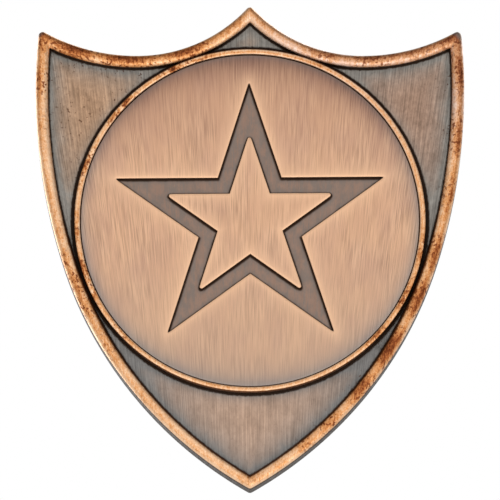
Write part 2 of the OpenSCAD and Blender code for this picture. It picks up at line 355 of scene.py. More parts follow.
def make_shield():
    rows = shield_rows()
    count = len(rows[0][0])
    flat = np.concatenate([points for points, _, _ in rows])
    height = np.concatenate([np.broadcast_to(h, count) for _, h, _ in rows]).astype(float)
    lean = np.concatenate([np.full(count, u) for _, _, u in rows])
    radius = np.hypot(flat[:, 0], flat[:, 1])
    inset = inset_of(flat)
    # Hand finishing leaves the raised edges slightly uneven
    for i in np.nonzero(height > WALL_TOP)[0]:
        x, y = flat[i]
        soft = wave(x, y, 0, 1.6) * 0.012 + wave(x, y, 5, 0.45) * 0.005
        height[i] += min(soft, CREST - height[i])
    for i in np.nonzero(height < 0.01)[0]:
        x, y = flat[i]
        height[i] += max(0.0, wave(x, y, 9, 1.1)) * 0.008
    sunk = (lean > 1.4) & (radius > RING_R - 0.01)
    on_ring = radius < RING_R + 0.001
    off_rim = np.where(sunk, inset - RIM_W, 0)
    off_ring = np.where(sunk, radius - RING_R, 0)
    outer = np.where(on_ring, lean, -lean)
    flat = np.concatenate([flat, [[0, 0], [0, 0]]])
    height = np.concatenate([height, [0, SEAT_FLOOR]])
    verts = stand(np.column_stack([flat, height]))
    faces = shell_faces(len(rows), count)
    layers = {
        "lean": np.append(lean, [ON_BACK, ON_BACK]),
        "outer": np.append(outer, [-ON_BACK, -ON_BACK]),
        "off_rim": np.append(off_rim, [0, 0]),
        "off_ring": np.append(off_ring, [0, 0]),
        "stain": stain_at(flat[:, 0], flat[:, 1]),
    }
    for x in (-PEG_X, PEG_X):
        peg_verts, peg_faces = peg_mesh(x)
        faces += [tuple(i + len(verts) for i in f) for f in peg_faces]
        verts = np.concatenate([verts, peg_verts])
        extra = len(peg_verts)
        for key in layers:
            layers[key] = np.append(layers[key], np.full(extra, 0.5 if key == "stain" else 0.0))
    return mesh_object("cast_shield", verts, faces, 40, layers)


def peg_mesh(x):
    """A cast peg through the bar, with its peened head: closed rows round the peg's axis."""
    shank, head, head_h, columns = 0.75, 1.15, 0.4, 40
    profile = [(shank, PEG_ROOT), (shank, BAR_T + 0.02), (head - 0.05, BAR_T + 0.01), (head, BAR_T + 0.06)]
    ball = (head * head + head_h * head_h) / (2 * head_h)
    for k in range(1, 9):
        r = head * (1 - k / 9)
        profile.append((r, BAR_T + head_h - ball + sqrt(ball * ball - r * r)))
    points = []
    for j, (r, depth) in enumerate(profile):
        for i in range(columns):
            a = 2 * pi * i / columns
            px, pz = r * cos(a), r * sin(a)
            uneven = wave(px, pz, x, 0.5) * 0.03 if j > 2 else 0.0
            points.append((x + px * (1 + 0.3 * uneven), depth + min(uneven, 0.0), FIT_Z + pz))
    points += [(x, PEG_ROOT, FIT_Z), (x, BAR_T + head_h - 0.02, FIT_Z)]
    return np.array(points) * MM, shell_faces(len(profile), columns)


# ------- star disc

# From a point to the notch beside it, half of a point's own angle, and the lean of an edge's normal
STEP = radians(36)
TIP = radians(18)
NORMAL = radians(72)


def star_radius(a, r, tip_r):
    """Distance from the centre to a five-pointed star's edge, in a direction a from the nearest point."""
    line = r * sin(TIP) / cos(NORMAL - a)
    centre = r - tip_r / sin(TIP)
    if a < atan2(tip_r * cos(TIP), centre + tip_r * sin(TIP)):
        return centre * cos(a) + sqrt(tip_r ** 2 - (centre * sin(a)) ** 2)
    return line


def disc_directions():
    """Directions round the disc, closer together near the star's points: (angle, angle from the point)."""
    shares = [0, 0.008, 0.017, 0.027, 0.038, 0.05, 0.065, 0.085, 0.11, 0.15, 0.2, 0.27, 0.35, 0.43, 0.51]
    shares += [0.59, 0.67, 0.75, 0.83, 0.9, 0.96]
    out = []
    for k in range(5):
        point = pi / 2 + radians(DISC_TURN) - 2 * STEP * k
        out += [(point - s * STEP, s * STEP) for s in shares]
        out += [(point - 2 * STEP + s * STEP, s * STEP) for s in [1] + shares[:0:-1]]
    return out


def band_edge(spread, outer, offset):
    """Radii of the band's outer or inner edge moved outwards by offset, at each direction."""
    grow = 1 / sin(TIP)
    if outer:
        tip_r = SHARP_TIP_R + max(offset, 0)
        return np.array([star_radius(t, STAR_R + offset * grow, tip_r) for _, t in spread])
    r = STAR_R - BAND_W * grow + offset * grow
    return np.array([star_radius(t, r, max(TIP_R + offset, SHARP_TIP_R)) for _, t in spread])


def disc_rows(spread):
    """Rows of the disc from the middle of its face, over the band, to its back: (radii, height)."""
    inner, outer = partial(band_edge, spread, False), partial(band_edge, spread, True)
    floor = DISC_TOP - BAND_DEPTH
    rows = [(inner(-BAND_ROUND - 0.6) * share, DISC_TOP) for share in (0.25, 0.5, 0.75)]
    rows += [(inner(-BAND_ROUND - back), DISC_TOP) for back in (0.6, 0.35, 0.15)]
    band_round = rounding(BAND_ROUND, 3)
    rows += [(inner(-inset), DISC_TOP - drop) for inset, drop in band_round]
    rows += [(inner(0.012), floor + 0.03), (inner(0.04), floor)]
    start, end = inner(0.04), outer(-0.04)
    rows += [(start + (end - start) * share, floor) for share in (0.15, 0.5, 0.85)]
    rows += [(end, floor), (outer(-0.012), floor + 0.03)]
    rows += [(outer(inset), DISC_TOP - drop) for inset, drop in reversed(band_round)]
    rows += [(outer(BAND_ROUND + out), DISC_TOP) for out in (0.15, 0.35)]
    last = outer(BAND_ROUND + 0.35)
    for share in (0.12, 0.25, 0.4, 0.55, 0.7, 0.82, 0.91, 0.97):
        rows.append((last + (DISC_R - DISC_EDGE_R - last) * share, DISC_TOP))
    side = [(DISC_R - inset, DISC_TOP - drop) for inset, drop in rounding(DISC_EDGE_R, 4)]
    side += [(DISC_R, DISC_BOTTOM + DISC_CHAMFER), (DISC_R - DISC_CHAMFER, DISC_BOTTOM)]
    return rows + [(np.full(len(spread), r), h) for r, h in side]


def make_disc():
    spread = disc_directions()
    rows = disc_rows(spread)
    angles = np.array([a for a, _ in spread])
    unit = np.stack([np.cos(angles), np.sin(angles)], 1)
    flat = np.concatenate([unit * r[:, None] for r, _ in rows] + [[[0, 0], [0, 0]]])
    height = np.append(np.repeat([h for _, h in rows], len(spread)), [DISC_TOP, DISC_BOTTOM])
    faces = shell_faces(len(rows), len(spread))
    layers = {
        "star": star_distance(flat),
        "below": star_distance(flat + [0, 0.06]),
        "edge": DISC_R - np.hypot(flat[:, 0], flat[:, 1]),
    }
    return mesh_object("star_centre", stand(np.column_stack([flat, height])), faces, 30, layers)


def star_distance(flat):
    """Signed distance of flat points from the nearest edge of the star's band, negative inside the band."""
    turned = np.arctan2(flat[:, 0], flat[:, 1]) + radians(DISC_TURN)
    radius = np.hypot(flat[:, 0], flat[:, 1])
    from_point = np.abs((turned + STEP) % (2 * STEP) - STEP)
    along, aside = radius * np.cos(from_point), radius * np.sin(from_point)
    # Signed distance beyond the line of the star's edge, whose normal lies NORMAL from the point
    normal = along * sin(TIP) + aside * cos(TIP)
    outer = normal - STAR_R * sin(TIP)
    past = along - STAR_R
    outer = np.where((past * cos(TIP) - aside * sin(TIP)) > 0, np.hypot(past, aside), outer)
    inner = normal - (STAR_R * sin(TIP) - BAND_W)
    tip_c = STAR_R - (BAND_W + TIP_R) / sin(TIP)
    at_tip = np.arctan2(aside, along - tip_c) < NORMAL
    inner = np.where(at_tip, np.hypot(along - tip_c, aside) - TIP_R, inner)
    return np.where(outer > 0, outer, np.maximum(outer, -inner))


# ------- fitting

def ring_points(r, a0=0.0, a1=2 * pi, steps=48, centre=(0.0, 0.0)):
    """Points of an arc in a piece's own plane, without the last one if the arc is a whole circle."""
    whole = abs(abs(a1 - a0) - 2 * pi) < 1e-6
    a = np.linspace(a0, a1, steps, endpoint=not whole)
    return [(centre[0] + r * cos(t), centre[1] + r * sin(t)) for t in a]


def plate(loops, thickness, bevel, place, steps=2):
    """A flat piece with rounded edges from closed loops, the first outside and the rest holes.

    It returns (vertices in metres, faces); place takes its plane and thickness to the badge's frame."""
    curve = bpy.data.curves.new("plate", "CURVE")
    curve.dimensions = "2D"
    curve.fill_mode = "BOTH"
    curve.extrude = thickness / 2 - bevel
    curve.bevel_depth = bevel
    curve.bevel_resolution = steps
    curve.offset = -bevel
    for loop in loops:
        spline = curve.splines.new("POLY")
        spline.points.add(len(loop) - 1)
        for point, (x, y) in zip(spline.points, loop):
            point.co = (x, y, 0, 1)
        spline.use_cyclic_u = True
    holder = bpy.data.objects.new("plate", curve)
    bpy.context.scene.collection.objects.link(holder)
    bpy.context.view_layer.update()
    made = bpy.data.meshes.new_from_object(holder.evaluated_get(bpy.context.evaluated_depsgraph_get()))
    work = bmesh.new()
    work.from_mesh(made)
    bmesh.ops.remove_doubles(work, verts=work.verts, dist=1e-4)
    bmesh.ops.recalc_face_normals(work, faces=work.faces)
    work.transform(place)
    work.verts.ensure_lookup_table()
    verts = np.array([v.co for v in work.verts]) * MM
    faces = [[v.index for v in f.verts] for f in work.faces]
    work.free()
    bpy.data.objects.remove(holder)
    bpy.data.curves.remove(curve)
    bpy.data.meshes.remove(made)
    return verts, faces


def lathe(profile, start, axis, columns=48):
    """A turned piece from (distance along the axis, radius) pairs; it returns (vertices in metres, faces)."""
    start, along = Vector(start), Vector(axis).normalized()
    side = along.orthogonal().normalized()
    up = along.cross(side)
    points = []
    for s, r in profile:
        for i in range(columns):
            a = 2 * pi * i / columns
            points.append(start + along * s + (side * cos(a) + up * sin(a)) * r)
    points += [start + along * profile[0][0], start + along * profile[-1][0]]
    return np.array([tuple(p) for p in points]) * MM, shell_faces(len(profile), columns)


def join(name, parts, smooth_angle=35):
    """One object from several closed shells."""
    verts, faces = [], []
    for part_verts, part_faces in parts:
        faces += [tuple(i + len(verts) for i in f) for f in part_faces]
        verts += [tuple(v) for v in part_verts]
    return mesh_object(name, verts, faces, smooth_angle)


# A piece's plane laid in the badge's frame: x and y of the plane, then its thickness
LIE_BACK = Matrix(((1, 0, 0, 0), (0, 0, -1, 0), (0, 1, 0, 0), (0, 0, 0, 1)))
ON_PIN = Matrix(((0, 0, 1, 0), (1, 0, 0, 0), (0, 1, 0, 0), (0, 0, 0, 1)))


def ear_loop(r, foot_y):
    """A rounded tongue on a foot that flares out at both sides."""
    flare, foot_h = 0.45, 0.1
    left = [(-r - out, foot_y + foot_h + rise) for out, rise in reversed(rounding(flare, 6))]
    right = [(-x, y) for x, y in reversed(left)]
    return ring_points(r, 0, pi, 25) + left + [(-r - flare, foot_y), (r + flare, foot_y)] + right


def make_bar():
    half = BAR_HIGH.z - FIT_Z
    straight = BAR_HIGH.x - half
    ends = ring_points(half, -pi / 2, pi / 2, 25, (straight, 0))
    ends += ring_points(half, pi / 2, 1.5 * pi, 25, (-straight, 0))
    peg_hole_r, bar_bevel = 0.78, 0.12
    holes = [ring_points(peg_hole_r, steps=40, centre=(x, 0)) for x in (-PEG_X, PEG_X)]
    place = Matrix.Translation((0, BAR_T / 2, FIT_Z)) @ LIE_BACK
    parts = [plate([ends] + holes, BAR_T, bar_bevel, place)]
    ear_r, ear_t, ear_gap, ear_bevel = 0.9, 0.5, 1.5, 0.09
    loop = ear_loop(ear_r, BAR_T - 0.1 - PIN_OFF)
    hole = ring_points(RIVET_R + BORE_PLAY, steps=32)
    for side in (-1, 1):
        place = Matrix.Translation((HINGE.x, HINGE.y, FIT_Z + side * (ear_gap + ear_t) / 2))
        parts.append(plate([loop, hole], ear_t, ear_bevel, place))
    return join("brooch_bar_plate", parts)


def make_rivet():
    half = (RIVET_HIGH.z - RIVET_LOW.z) / 2
    head_h, head_r = 0.3, 0.85
    profile = [(0.0, 0.02), (0.015, 0.2), (0.06, 0.45), (0.14, 0.68), (0.22, 0.8), (0.27, head_r)]
    profile += [(head_h, head_r - 0.02), (head_h, RIVET_R)]
    profile += [(2 * half - s, r) for s, r in reversed(profile)]
    start = (HINGE.x, HINGE.y, FIT_Z - half)
    return join("hinge_rivet_turned", [lathe(profile, start, (0, 0, 1))])


def eye_loop(eye_r):
    """The flattened eye, which runs into the wire through a neck and is squared off behind as a heel."""
    neck_x, neck_run, neck_half, neck_flare = 3.1, 1.9, 0.2, 0.29
    neck = [(neck_x - neck_run * t, neck_half + neck_flare * (1 - cos(pi * t)))
            for t in np.linspace(0, 1, 14)]
    top = ring_points(eye_r, radians(38), radians(108), 14)
    # The heel's corner meets the bar when the pin has swung this far
    stop, reach = radians(102), PIN_OFF - BAR_T + 0.1
    corner = pi + asin((PIN_OFF - BAR_T) / reach) - stop
    back = radians(172)
    heel = [
        (reach * cos(corner), reach * sin(corner)),
        ((reach - 0.15) * cos(back), (reach - 0.15) * sin(back)),
    ]
    under = ring_points(eye_r, radians(212), radians(322), 20)
    return neck + top + heel + under + [(x, -y) for x, y in reversed(neck)]


def make_pin():
    eye_r, eye_t, eye_bore, eye_bevel = 1.15, 0.86, 0.54, 0.12
    loops = [eye_loop(eye_r), ring_points(eye_bore, steps=40)]
    parts = [plate(loops, eye_t, eye_bevel, Matrix.Translation(HINGE), 3)]
    start_x, taper, tip = HINGE.x + 0.85, 8.4, PIN_HIGH.x
    run = taper - start_x
    profile = [(0.0, 0.18), (0.08, 0.36), (0.2, WIRE_R)]
    profile += [(run * k / 12, WIRE_R) for k in range(1, 13)]
    for k in range(1, 15):
        t = k / 14
        profile.append((run + (tip - taper) * t * 0.985, WIRE_R - (WIRE_R - 0.06) * t ** 1.15))
    profile += [(tip - start_x, 0.012)]
    parts.append(lathe(profile, (start_x, HINGE.y, FIT_Z), (1, 0, 0), 40))
    return join("pin_wire", parts)


def make_housing():
    outer, inner, mouth = 1.75, 1.35, radians(35)
    length = HOUSING_HIGH.x - HOUSING_LOW.x
    foot_w, foot_out, foot_y = 0.9, 0.3, BAR_T - PIN_OFF
    weld = 0.12
    first = pi / 2 + mouth
    foot_a = pi + acos(foot_w / outer)
    # One loop: outside of the left wall, foot, outside of the right wall, round lip, inside, round lip
    left = ring_points(outer, first, foot_a, 30)
    half_foot = [(-foot_w - weld, foot_y + weld), (-foot_w - foot_out, foot_y)]
    foot = half_foot + [(-x, y) for x, y in reversed(half_foot)]
    right = [(-x, y) for x, y in reversed(left)]
    lip, mid = 0.5 * (outer - inner), (outer + inner) / 2
    lips = []
    for side, a in ((1, pi / 2 - mouth), (-1, first)):
        step = side * pi / 7
        lips.append(ring_points(lip, a + step, a + 6 * step, 6, (mid * cos(a), mid * sin(a))))
    inside = ring_points(inner, pi / 2 - mouth, first - 2 * pi, 44)
    loop = left + foot + right + lips[0] + inside + list(reversed(lips[1]))
    centre = Matrix.Translation(((HOUSING_LOW.x + HOUSING_HIGH.x) / 2, HINGE.y, FIT_Z))
    return join("catch_housing_wrap", [plate([loop], length, 0.07, centre @ ON_PIN)], 30)


def slotted_ring(outer, hole, slot, outer_n, inner_n):
    """A ring with a slot in its top, from the slot's edge round the outside and back round the bore."""
    a0, b0 = asin(slot / outer), asin(min(slot / hole, 1))
    out = ring_points(outer, pi / 2 - a0, a0 + pi / 2 - 2 * pi, outer_n)
    return out + ring_points(hole, b0 + pi / 2 - 2 * pi, pi / 2 - b0, inner_n)


def slotted_end(start, outer_n, inner_n):
    """The flat end of a slotted ring, as a strip of quads and triangles."""
    faces = []

    def across(i):
        return outer_n + inner_n - 1 - round(i * (inner_n - 1) / (outer_n - 1))

    for i in range(outer_n - 1):
        corners = [i, i + 1, across(i + 1)]
        if across(i) != across(i + 1):
            corners.append(across(i))
        faces.append(tuple(start + k for k in corners))
    return faces


def make_barrel():
    body, flange, bore, slot = 1.3, 1.65, 0.7, 0.55
    cap_t, flange_t = 0.45, 0.3
    edge, half_edge = 0.06, 0.02
    outer_n, inner_n = 60, 36
    low, high = BARREL_LOW.x, BARREL_HIGH.x
    flange_end = low + flange_t
    stations = [
        (low, flange - edge, bore + edge), (low + half_edge, flange - half_edge, bore + half_edge),
        (low + edge, flange, bore), (flange_end - edge, flange, bore),
        (flange_end - half_edge, flange - half_edge, bore), (flange_end, flange - edge, bore),
        (flange_end, body, bore), (high - cap_t, body, bore),
    ]
    points = []
    for x, outer, hole in stations:
        section = slotted_ring(outer, hole, slot, outer_n, inner_n)
        points += [(x, HINGE.y + v, FIT_Z - u) for u, v in section]
    verts = np.array(points) * MM
    count = outer_n + inner_n
    faces = loft_faces(len(stations), count)
    faces += [tuple(reversed(face)) for face in slotted_end(0, outer_n, inner_n)]
    faces += slotted_end(len(verts) - count, outer_n, inner_n)
    # The end cap is drawn out into the thumb lever, at 50 degrees from the slot
    reach, tip_r, turn = 2.6, 0.45, radians(-50)
    tip_c = reach - tip_r
    lean = asin((flange - tip_r) / tip_c)
    loop = ring_points(flange, pi / 2 - lean, lean - pi / 2 + 2 * pi, 56)
    loop += ring_points(tip_r, lean - pi / 2, pi / 2 - lean, 14, (tip_c, 0))
    spin = Matrix.Rotation(turn, 4, "X") @ ON_PIN
    place = Matrix.Translation((high - cap_t / 2, HINGE.y, FIT_Z)) @ spin
    return join("catch_barrel_turned", [(verts, faces), plate([loop], cap_t, 0.1, place, 3)])


# ------- materials

def feed(tree, socket, value):
    """Link a socket to another node's output, or give it a number, a vector or a colour."""
    if isinstance(value, bpy.types.NodeSocket):
        tree.links.new(value, socket)
    elif socket.type == "RGBA":
        socket.default_value = (*value, 1)
    else:
        socket.default_value = value


def new_node(tree, kind, inputs=(), **settings):
    """A node with the given settings, and with inputs by their names or numbers."""
    made = tree.nodes.new("ShaderNode" + kind)
    for key, value in settings.items():
        setattr(made, key, value)
    for key, value in dict(inputs).items():
        feed(tree, made.inputs[key], value)
    return made


class Graph:
    """A node tree with short calls for what the materials here need. Lengths in it are millimetres."""

    def __init__(self, name):
        self.material = bpy.data.materials.new(name)
        self.material.use_nodes = True
        self.tree = self.material.node_tree
        self.shader = self.tree.nodes["Principled BSDF"]
        coords = self.node("TexCoord").outputs["Object"]
        self.place = self.node("VectorMath", {0: coords, "Scale": 1 / MM}, operation="SCALE")
        self.split = self.node("SeparateXYZ", {0: self.place.outputs[0]})

    def node(self, kind, inputs=(), **settings):
        return new_node(self.tree, kind, inputs, **settings)

    def math(self, operation, *values, clamp=False):
        return self.node("Math", enumerate(values), operation=operation, use_clamp=clamp).outputs[0]

    def add(self, total, *values):
        for value in values:
            total = self.math("ADD", total, value)
        return total

    def times(self, product, *values):
        for value in values:
            product = self.math("MULTIPLY", product, value)
        return product

    def less(self, value, taken):
        return self.math("SUBTRACT", value, taken)

    def around(self, value, by):
        """A noise value moved to swing about zero, by so much."""
        return self.times(self.less(value, 0.5), by)

    def ramp(self, value, low, high, start=0.0, end=1.0):
        """A smooth step from start at low to end at high."""
        values = enumerate((value, low, high, start, end))
        return self.node("MapRange", values, interpolation_type="SMOOTHSTEP").outputs[0]

    def mix(self, factor, a, b, blend="MIX"):
        """Colour a turned into b by a factor of 0 to 1."""
        settings = {"data_type": "RGBA", "blend_type": blend, "clamp_factor": True}
        return self.node("Mix", {0: factor, 6: a, 7: b}, **settings).outputs[2]

    def fade(self, distance, length, start=0.0):
        """1 at the start distance, fading away over the given length."""
        past = self.math("MAXIMUM", self.less(distance, start), 0.0)
        return self.math("EXPONENT", self.times(self.math("DIVIDE", past, length), -1.0))

    def dim(self, colour, factor):
        """A colour made darker or lighter by a factor."""
        return self.node("VectorMath", {0: colour, "Scale": factor}, operation="SCALE").outputs[0]

    def fan_out(self, reach):
        """Make the upright noise lines lean in towards a point so far below the middle."""
        x, y, z = (self.split.outputs[k] for k in "XYZ")
        spread = self.add(1.0, self.math("DIVIDE", z, reach))
        self.place = self.node("CombineXYZ", {0: self.math("DIVIDE", x, spread), 1: y, 2: z})

    def stretch(self, x, y, z):
        inputs = {0: self.place.outputs[0], 1: (x, y, z)}
        return self.node("VectorMath", inputs, operation="MULTIPLY").outputs[0]

    def noise(self, x, y, z, detail=3.0, rough=0.55, warp=0.0):
        """Noise with x, y and z features per millimetre along the three axes."""
        inputs = {"Vector": self.stretch(x, y, z), "Scale": 1, "Detail": detail}
        inputs.update({"Roughness": rough, "Distortion": warp})
        return self.node("TexNoise", inputs).outputs["Fac"]

    def spots(self, per_mm, share, size):
        """Round pits in some of the random cells: 1 in a pit and 0 elsewhere."""
        vector = self.stretch(per_mm, per_mm, per_mm)
        cell = self.node("TexVoronoi", {"Vector": vector, "Scale": 1})
        pick = self.node("SeparateColor", {0: cell.outputs["Color"]}).outputs[0]
        grow = self.times(self.ramp(pick, 0.0, 0.3, 1.0, 0.6), size)
        round_pit = self.ramp(self.math("DIVIDE", cell.outputs["Distance"], grow), 0.7, 1.1, 1.0, 0.0)
        return self.times(self.math("LESS_THAN", pick, share), round_pit)

    def layer(self, name):
        return self.node("Attribute", attribute_name=name).outputs["Fac"]

    def bump(self, height, depth, normal=None):
        """A bump of the given depth in millimetres."""
        inputs = {"Strength": 1.0, "Distance": depth * MM, "Height": height}
        if normal is not None:
            inputs["Normal"] = normal
        return self.node("Bump", inputs).outputs[0]

    def finish(self, colour, rough, metallic, normal=None):
        inputs = {"Base Color": colour, "Roughness": rough, "Metallic": metallic}
        if normal is not None:
            inputs["Normal"] = normal
        for key, value in inputs.items():
            feed(self.tree, self.shader.inputs[key], value)
        return self.material


# Copper, from rubbed bare to the thickest tarnish
PALE = (0.88, 0.59, 0.375)
PEACH = (0.8, 0.47, 0.26)
ORANGE = (0.68, 0.31, 0.115)
RUST = (0.42, 0.135, 0.04)
UMBER = (0.2, 0.05, 0.016)
BROWN = (0.07, 0.02, 0.008)
# The shield's field, edges, wall and back
TAN = (0.48, 0.295, 0.18)
TAN_LOW = (0.5, 0.335, 0.24)
TAN_DULL = (0.36, 0.23, 0.168)
SLATE = (0.255, 0.235, 0.21)
SLATE_LOW = (0.21, 0.2, 0.19)
BLACK = (0.02, 0.009, 0.004)
COOLER = (0.92, 1.02, 1.35)
# Patina and painted shade on the shoulder next to the field
SHOULDER_SHADE = (0.1, 0.032, 0.01)
WALL_LOW = (0.045, 0.034, 0.027)
WALL_HIGH = (0.065, 0.042, 0.028)
BACK_DARK = (0.145, 0.089, 0.058)
BACK_LIGHT = (0.2, 0.122, 0.079)
# The disc's face, and the floor of its band
DISC_LIGHT = (0.76, 0.475, 0.31)
DISC_DARK = (0.36, 0.21, 0.14)
DISC_WARM = (0.52, 0.3, 0.21)
DISC_BELOW = (0.53, 0.365, 0.26)
DISC_ABOVE = (0.46, 0.25, 0.165)
# Rubbed copper with a painted highlight, beside the band's edges
DISC_RUBBED_LIT = (0.86, 0.54, 0.335)
# Painted shade next to the ring: grey at the face's edge, then tints for the lower and the upper face
DISC_EDGE_SHADE = (0.23, 0.205, 0.185)
SHADE_TINT_BELOW = (0.15, 0.45, 0.85)
SHADE_TINT_ABOVE = (0.15, 0.1, 0.16)
BAND_WARM = (0.285, 0.186, 0.14)
BAND_COOL = (0.205, 0.16, 0.135)
BAND_SHADE = (0.17, 0.145, 0.13)
BAND_LINE = (0.026, 0.011, 0.005)
# Fitting, adhesive and floor
NICKEL = (0.6, 0.585, 0.56)
NICKEL_WARM = (0.6, 0.585, 0.555)
STEEL = (0.68, 0.67, 0.65)
PIT = (0.1, 0.085, 0.07)
GLUE_DARK = (0.55, 0.47, 0.3)
GLUE_LIGHT = (0.72, 0.66, 0.5)
FLOOR_DARK = (0.86, 0.86, 0.86)
FLOOR_LIGHT = (0.88, 0.88, 0.88)

PATINA_GLOSS = 0.06
# The brush lines lean in towards a point this far below the middle
LINES_MEET = 88
# Heights between which a raised edge's flank turns from black to copper
FLANK_LOW, FLANK_HIGH = 1.62, 1.8


def tarnish(g, amount):
    """Bare copper through orange and rust to dark brown as the amount goes from 0 to 1."""
    made = g.node("ValToRGB", {0: amount})
    stops = [(0, PALE), (0.2, PEACH), (0.42, ORANGE), (0.66, RUST), (0.84, UMBER), (1, BROWN)]
    for place, _ in stops[2:]:
        made.color_ramp.elements.new(place)
    for stop, (place, colour) in zip(made.color_ramp.elements, stops):
        stop.position = place
        stop.color = (*colour, 1)
    return made.outputs[0]


def copper_graph(name):
    """A graph with fanned brush lines, the height over the back and the place on the face."""
    g = Graph(name)
    g.fan_out(LINES_MEET)
    g.height = g.times(g.split.outputs["Y"], -1)
    g.x, g.z = g.split.outputs["X"], g.split.outputs["Z"]
    return g


def brushed_field(g):
    """The sunk field: brushed tan with brown flecks, greying towards the walls and in the peak."""
    upper = g.ramp(g.z, -11, -3)
    tan = g.mix(upper, TAN_LOW, TAN)
    right = g.times(upper, g.ramp(g.x, -1, 6, 0, 0.8))
    tan = g.mix(right, tan, TAN_DULL)
    tan = g.mix(g.ramp(g.z, 13.2, 15), tan, SLATE)
    slate = g.mix(upper, SLATE_LOW, SLATE)
    uneven = g.around(g.blot, 0.9)
    near_rim = g.fade(g.add(g.off_rim, uneven), g.ramp(g.z, -11, -3, 1.25, 0.9), 0.25)
    near_ring = g.fade(g.add(g.off_ring, g.times(uneven, 0.4)), 0.45, 0.02)
    field = g.mix(g.math("ADD", near_rim, near_ring, clamp=True), tan, slate)
    brush = g.noise(13, 1, 0.28, 1, 0.5)
    field = g.dim(field, g.add(0.97, g.around(brush, g.ramp(g.z, -12, 0, 0.9, 1.15))))
    field = g.dim(field, g.add(1, g.around(g.mottle, g.ramp(g.z, -12, 0, -0.35, -0.8))))
    field = g.dim(field, g.ramp(g.add(g.blot, g.times(g.stain, 0.1)), 0.4, 0.75, 1.06, 0.82))
    flecks = g.times(g.ramp(g.dust, 0.66, 0.72), g.ramp(g.stain, 0.2, 0.8, 0.1, 0.8))
    return g.mix(flecks, field, BROWN)


def crevices(g):
    """1 in the ragged lines at the feet of the rim and of the ring: black patina, widened at the ring's foot
    by a painted shadow that is widest round the ring's upper half.
    """
    ragged = g.around(g.mottle, 0.2)
    rim_foot = g.ramp(g.add(g.off_rim, ragged), 0.05, 0.18, 1, 0)
    # Painted shadow of the ring on the field: wide round its upper half, narrow below it
    reach = g.ramp(g.z, -12, 4, 0.15, 0.29)
    ring_foot = g.ramp(g.less(reach, g.add(g.off_ring, ragged)), -0.08, 0.06)
    return g.math("MAXIMUM", rim_foot, ring_foot)


def wear(g, on_ring):
    """How tarnished a raised edge is: by place, and along a line on the outer side of its crest. Painted
    light goes into it too: painted shade on the outer side along the middle stretches, lighter there low down
    and at the very top, and painted highlights on the outer shoulder and on the inner shoulder higher up,
    where the copper is also rubbed.
    """
    # Painted shade and light on the outer side: more tarnish along the middle stretches, less low down and at
    # the very top
    shade_swing = g.times(g.ramp(g.z, -10, -3, -0.55, 0.7), g.ramp(g.z, 10.5, 12.8, 1, -0.5))
    outside = g.times(g.ramp(g.outer, -0.6, 0.9, -0.5, 0.5), shade_swing)
    stain_and_shade = g.times(g.stain, g.add(0.92, outside))
    line = g.times(g.ramp(g.lean, -0.75, -0.4), g.ramp(g.lean, -0.2, 0.2, 1, 0))
    line = g.times(line, g.ramp(g.z, 8, 12.5, 0.12, 0.14))
    base = g.add(g.ramp(g.x, 4, 12, 0.11, 0.2), g.ramp(g.z, 8, 13, 0, 0.08))
    worn_and_lit = g.add(base, line, g.times(stain_and_shade, 0.46))
    # Rubbed copper with a painted highlight on the outer shoulder, and a painted reflection on the inner
    # shoulder higher up
    bare_and_lit_edge = g.times(g.ramp(g.lean, -1, -0.45, 1, 0), g.ramp(g.z, -14, -8, 0.14, 0.3))
    rubbed_and_lit = g.times(g.ramp(g.lean, 0.2, 0.6), g.ramp(g.z, 0, 8, 0.03, 0.14))
    worn_and_lit = g.less(g.less(worn_and_lit, bare_and_lit_edge), rubbed_and_lit)
    for value, by in ((g.mottle, 0.8), (g.grit, 0.8), (g.fine, 0.35), (g.blot, 0.25)):
        worn_and_lit = g.add(worn_and_lit, g.around(value, by))
    # The ring is stained in short runs, with bare metal between them
    spill = g.noise(1.8, 1.8, 1.4, 3, 0.6)
    runs = g.times(on_ring, g.around(spill, 2.2), g.ramp(g.stain, 0.3, 0.7))
    return g.add(worn_and_lit, runs)


def raised_edge(g, worn_and_lit, on_ring):
    """The copper of the rim and the ring, as tarnished as its second argument says, with patina and painted
    shade on the shoulder next to the field.
    """
    edge = tarnish(g, worn_and_lit)
    specks = g.times(g.ramp(g.dust, 0.56, 0.62), g.ramp(g.stain, 0.2, 0.7, 0.1, 0.9))
    edge = g.mix(specks, edge, UMBER)
    # Cooler at the upper right, and more so on the rim than on the ring
    cool = g.times(g.ramp(g.z, 3, 10), g.ramp(g.x, -3, 5))
    cool = g.times(cool, g.ramp(on_ring, 0, 1, 0.95, 0.3))
    edge = g.mix(cool, edge, COOLER, "MULTIPLY")
    # Grey on the tips of the two horns
    horn = g.add(g.math("ABSOLUTE", g.x), g.z, g.ramp(g.x, -1, 1, -0.35, 0))
    horn = g.ramp(g.add(horn, g.around(g.mottle, 0.5)), 28.9, 29.5, 0, 0.75)
    edge = g.mix(horn, edge, SLATE_LOW)
    # Dark patina on the shoulder next to the field, spread wider as painted shade on some stretches: low on
    # the rim, and at the top and bottom of the ring
    sooner = g.times(on_ring, g.ramp(g.math("ABSOLUTE", g.z), 5, 11, -0.12, 0.3))
    on_rim = g.less(1, on_ring)
    sooner = g.add(sooner, g.times(on_rim, g.ramp(g.z, -4, 7, 0.2, -0.22)))
    shoulder_shade = g.add(g.lean, sooner, g.around(g.mottle, 0.25))
    return g.mix(g.ramp(shoulder_shade, 0.78, 0.98, 0, 0.94), edge, SHOULDER_SHADE)


def cast_back(g, streak):
    """The back: dark bronze, rubbed lighter in faint clouds, with a cast grain."""
    cloud = g.noise(0.22, 0.22, 0.22, 4, 0.55)
    back = g.mix(g.ramp(cloud, 0.36, 0.66), BACK_DARK, BACK_LIGHT)
    back = g.dim(back, g.ramp(g.grit, 0.3, 0.7, 0.78, 1.2))
    return g.dim(back, g.ramp(streak, 0.3, 0.7, 0.9, 1.1))


